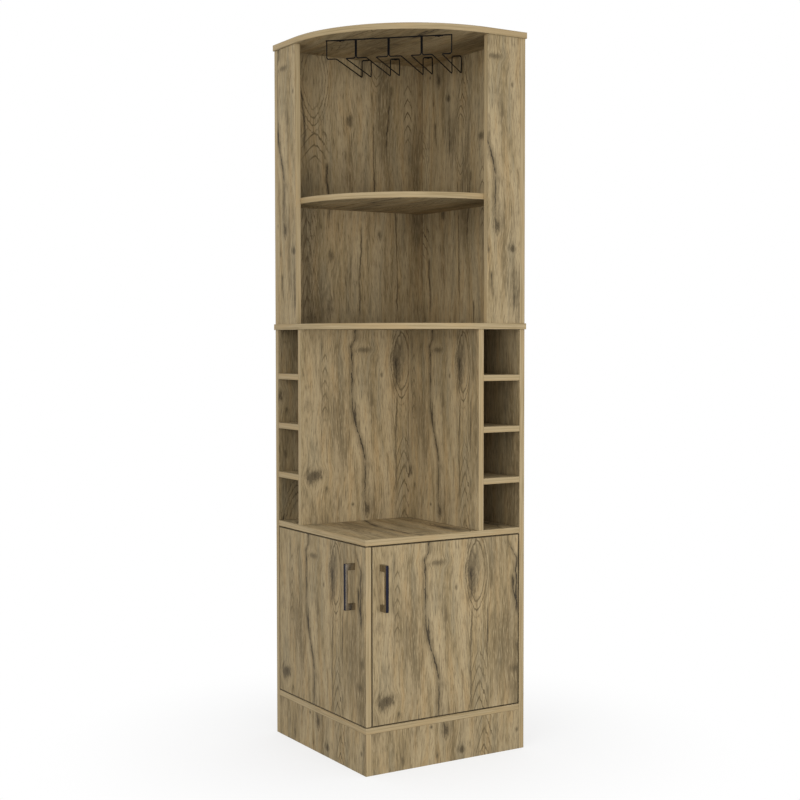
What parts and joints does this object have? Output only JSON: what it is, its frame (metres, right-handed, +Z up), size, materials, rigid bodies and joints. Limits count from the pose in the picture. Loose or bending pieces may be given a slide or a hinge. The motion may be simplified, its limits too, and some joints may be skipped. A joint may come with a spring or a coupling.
{
  "type": "corner drinks cabinet",
  "caption": "Tall corner bar cabinet of oak-look laminated board: base with inset doors, bottle cubbies round a niche, open bowed upper case with a shelf and a wire stemware rack.",
  "frame": {"origin": "on the floor, under the middle of the box that holds the whole cabinet with its handles", "axes": "+Z up; +X towards the right-hand wall and +Y towards the left-hand wall of the room corner, so the left door faces -X and the right door faces -Y"},
  "size_m": [0.495, 0.495, 1.8],
  "materials": {
    "oak_laminate": "matt aged-oak laminate",
    "black_wire": "satin black coating",
    "handle_metal": "polished dark nickel",
    "hinge_steel": "nickel-plated steel"
  },
  "bodies": {
    "carcass": {"bottom_board": "oak_laminate", "counter_board": "oak_laminate", "left_cubby_shelf_1": "oak_laminate", "left_cubby_shelf_2": "oak_laminate", "left_cubby_shelf_3": "oak_laminate", "left_lower_hinge_arm": "hinge_steel", "left_lower_hinge_plate": "hinge_steel", "left_plinth_board": "oak_laminate", "left_rack_divider": "oak_laminate", "left_side_panel": "oak_laminate", "left_stile": "oak_laminate", "left_upper_hinge_arm": "hinge_steel", "left_upper_hinge_plate": "hinge_steel", "left_upper_panel": "oak_laminate", "mid_shelf": "oak_laminate", "rack_front_bar": "black_wire", "rack_lane_1": "black_wire", "rack_lane_2": "black_wire", "rack_lane_3": "black_wire", "rack_lane_4": "black_wire", "rack_screws": "black_wire", "rack_tabs": "black_wire", "right_cubby_shelf_1": "oak_laminate", "right_cubby_shelf_2": "oak_laminate", "right_cubby_shelf_3": "oak_laminate", "right_lower_hinge_arm": "hinge_steel", "right_lower_hinge_plate": "hinge_steel", "right_plinth_board": "oak_laminate", "right_rack_divider": "oak_laminate", "right_side_panel": "oak_laminate", "right_stile": "oak_laminate", "right_upper_hinge_arm": "hinge_steel", "right_upper_hinge_plate": "hinge_steel", "right_upper_panel": "oak_laminate", "top_panel": "oak_laminate", "upper_shelf": "oak_laminate"},
    "left_door_leaf": {"left_door": "oak_laminate", "left_handle": "handle_metal", "left_lower_hinge_cup": "hinge_steel", "left_lower_hinge_pin": "hinge_steel", "left_upper_hinge_cup": "hinge_steel", "left_upper_hinge_pin": "hinge_steel"},
    "right_door_leaf": {"right_door": "oak_laminate", "right_handle": "handle_metal", "right_lower_hinge_cup": "hinge_steel", "right_lower_hinge_pin": "hinge_steel", "right_upper_hinge_cup": "hinge_steel", "right_upper_hinge_pin": "hinge_steel"}
  },
  "joints": [
    {"name": "left_door_hinge", "type": "hinge", "parent": "carcass", "child": "left_door_leaf", "pos_m": [-0.212, 0.2165, 0.332], "axis": [0, 0, -1], "range_deg": [0, 95]},
    {"name": "right_door_hinge", "type": "hinge", "parent": "carcass", "child": "right_door_leaf", "pos_m": [0.2165, -0.212, 0.332], "axis": [0, 0, 1], "range_deg": [0, 95]}
  ]
}
